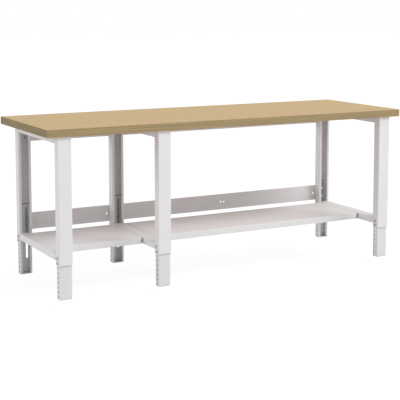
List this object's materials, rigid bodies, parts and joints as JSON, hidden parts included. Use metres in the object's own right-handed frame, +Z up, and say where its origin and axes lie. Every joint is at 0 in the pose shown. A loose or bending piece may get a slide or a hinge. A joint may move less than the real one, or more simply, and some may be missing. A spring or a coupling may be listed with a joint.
{
  "type": "assembly table",
  "caption": "Long assembly table: thick wooden worktop on folded steel leg frames with telescopic legs, sheet-metal shelves and back panels.",
  "frame": {"origin": "on the floor under the middle of the worktop", "axes": "+X along the table to the right seen from the front, +Y from the front to the back panels, +Z up"},
  "size_m": [2.1, 0.7, 0.84],
  "materials": {
    "beech_board": "lacquered beech board with a layered edge",
    "grey_powder_coat": "light grey powder coat, fine texture",
    "zinc_plated_steel": "bright zinc plating"
  },
  "bodies": {
    "bench": {"worktop": "beech_board", "top_rail_left": "grey_powder_coat", "lower_rail_left": "grey_powder_coat", "top_rail_middle": "grey_powder_coat", "lower_rail_middle": "grey_powder_coat", "top_rail_right": "grey_powder_coat", "lower_rail_right": "grey_powder_coat", "column_front_left": "grey_powder_coat", "clamp_bolt_front_left_lower": "zinc_plated_steel", "clamp_bolt_front_left_upper": "zinc_plated_steel", "column_rear_left": "grey_powder_coat", "clamp_bolt_rear_left_lower": "zinc_plated_steel", "clamp_bolt_rear_left_upper": "zinc_plated_steel", "column_front_middle": "grey_powder_coat", "clamp_bolt_front_middle_lower": "zinc_plated_steel", "clamp_bolt_front_middle_upper": "zinc_plated_steel", "column_rear_middle": "grey_powder_coat", "clamp_bolt_rear_middle_lower": "zinc_plated_steel", "clamp_bolt_rear_middle_upper": "zinc_plated_steel", "column_front_right": "grey_powder_coat", "clamp_bolt_front_right_lower": "zinc_plated_steel", "clamp_bolt_front_right_upper": "zinc_plated_steel", "column_rear_right": "grey_powder_coat", "clamp_bolt_rear_right_lower": "zinc_plated_steel", "clamp_bolt_rear_right_upper": "zinc_plated_steel", "shelf_left": "grey_powder_coat", "back_panel_left": "grey_powder_coat", "panel_bolt_left_left_lower": "zinc_plated_steel", "panel_bolt_left_left_upper": "zinc_plated_steel", "panel_bolt_left_right_lower": "zinc_plated_steel", "panel_bolt_left_right_upper": "zinc_plated_steel", "upper_back_panel_left": "grey_powder_coat", "upper_panel_bolt_left_left_lower": "zinc_plated_steel", "upper_panel_bolt_left_left_upper": "zinc_plated_steel", "upper_panel_bolt_left_right_lower": "zinc_plated_steel", "upper_panel_bolt_left_right_upper": "zinc_plated_steel", "shelf_right": "grey_powder_coat", "back_panel_right": "grey_powder_coat", "panel_bolt_right_left_lower": "zinc_plated_steel", "panel_bolt_right_left_upper": "zinc_plated_steel", "panel_bolt_right_right_lower": "zinc_plated_steel", "panel_bolt_right_right_upper": "zinc_plated_steel", "upper_back_panel_right": "grey_powder_coat", "upper_panel_bolt_right_left_lower": "zinc_plated_steel", "upper_panel_bolt_right_left_upper": "zinc_plated_steel", "upper_panel_bolt_right_right_lower": "zinc_plated_steel", "upper_panel_bolt_right_right_upper": "zinc_plated_steel"},
    "telescopic_leg_front_left": {"leg_front_left": "grey_powder_coat", "foot_plate_front_left": "grey_powder_coat"},
    "telescopic_leg_rear_left": {"leg_rear_left": "grey_powder_coat", "foot_plate_rear_left": "grey_powder_coat"},
    "telescopic_leg_front_middle": {"leg_front_middle": "grey_powder_coat", "foot_plate_front_middle": "grey_powder_coat"},
    "telescopic_leg_rear_middle": {"leg_rear_middle": "grey_powder_coat", "foot_plate_rear_middle": "grey_powder_coat"},
    "telescopic_leg_front_right": {"leg_front_right": "grey_powder_coat", "foot_plate_front_right": "grey_powder_coat"},
    "telescopic_leg_rear_right": {"leg_rear_right": "grey_powder_coat", "foot_plate_rear_right": "grey_powder_coat"}
  },
  "joints": [
    {"name": "leg_slide_front_left", "type": "slide", "parent": "bench", "child": "telescopic_leg_front_left", "axis": [0, 0, 1], "range_m": [-0.048, 0.168]},
    {"name": "leg_slide_rear_left", "type": "slide", "parent": "bench", "child": "telescopic_leg_rear_left", "axis": [0, 0, 1], "range_m": [-0.048, 0.168]},
    {"name": "leg_slide_front_middle", "type": "slide", "parent": "bench", "child": "telescopic_leg_front_middle", "axis": [0, 0, 1], "range_m": [-0.048, 0.168]},
    {"name": "leg_slide_rear_middle", "type": "slide", "parent": "bench", "child": "telescopic_leg_rear_middle", "axis": [0, 0, 1], "range_m": [-0.048, 0.168]},
    {"name": "leg_slide_front_right", "type": "slide", "parent": "bench", "child": "telescopic_leg_front_right", "axis": [0, 0, 1], "range_m": [-0.048, 0.168]},
    {"name": "leg_slide_rear_right", "type": "slide", "parent": "bench", "child": "telescopic_leg_rear_right", "axis": [0, 0, 1], "range_m": [-0.048, 0.168]}
  ]
}
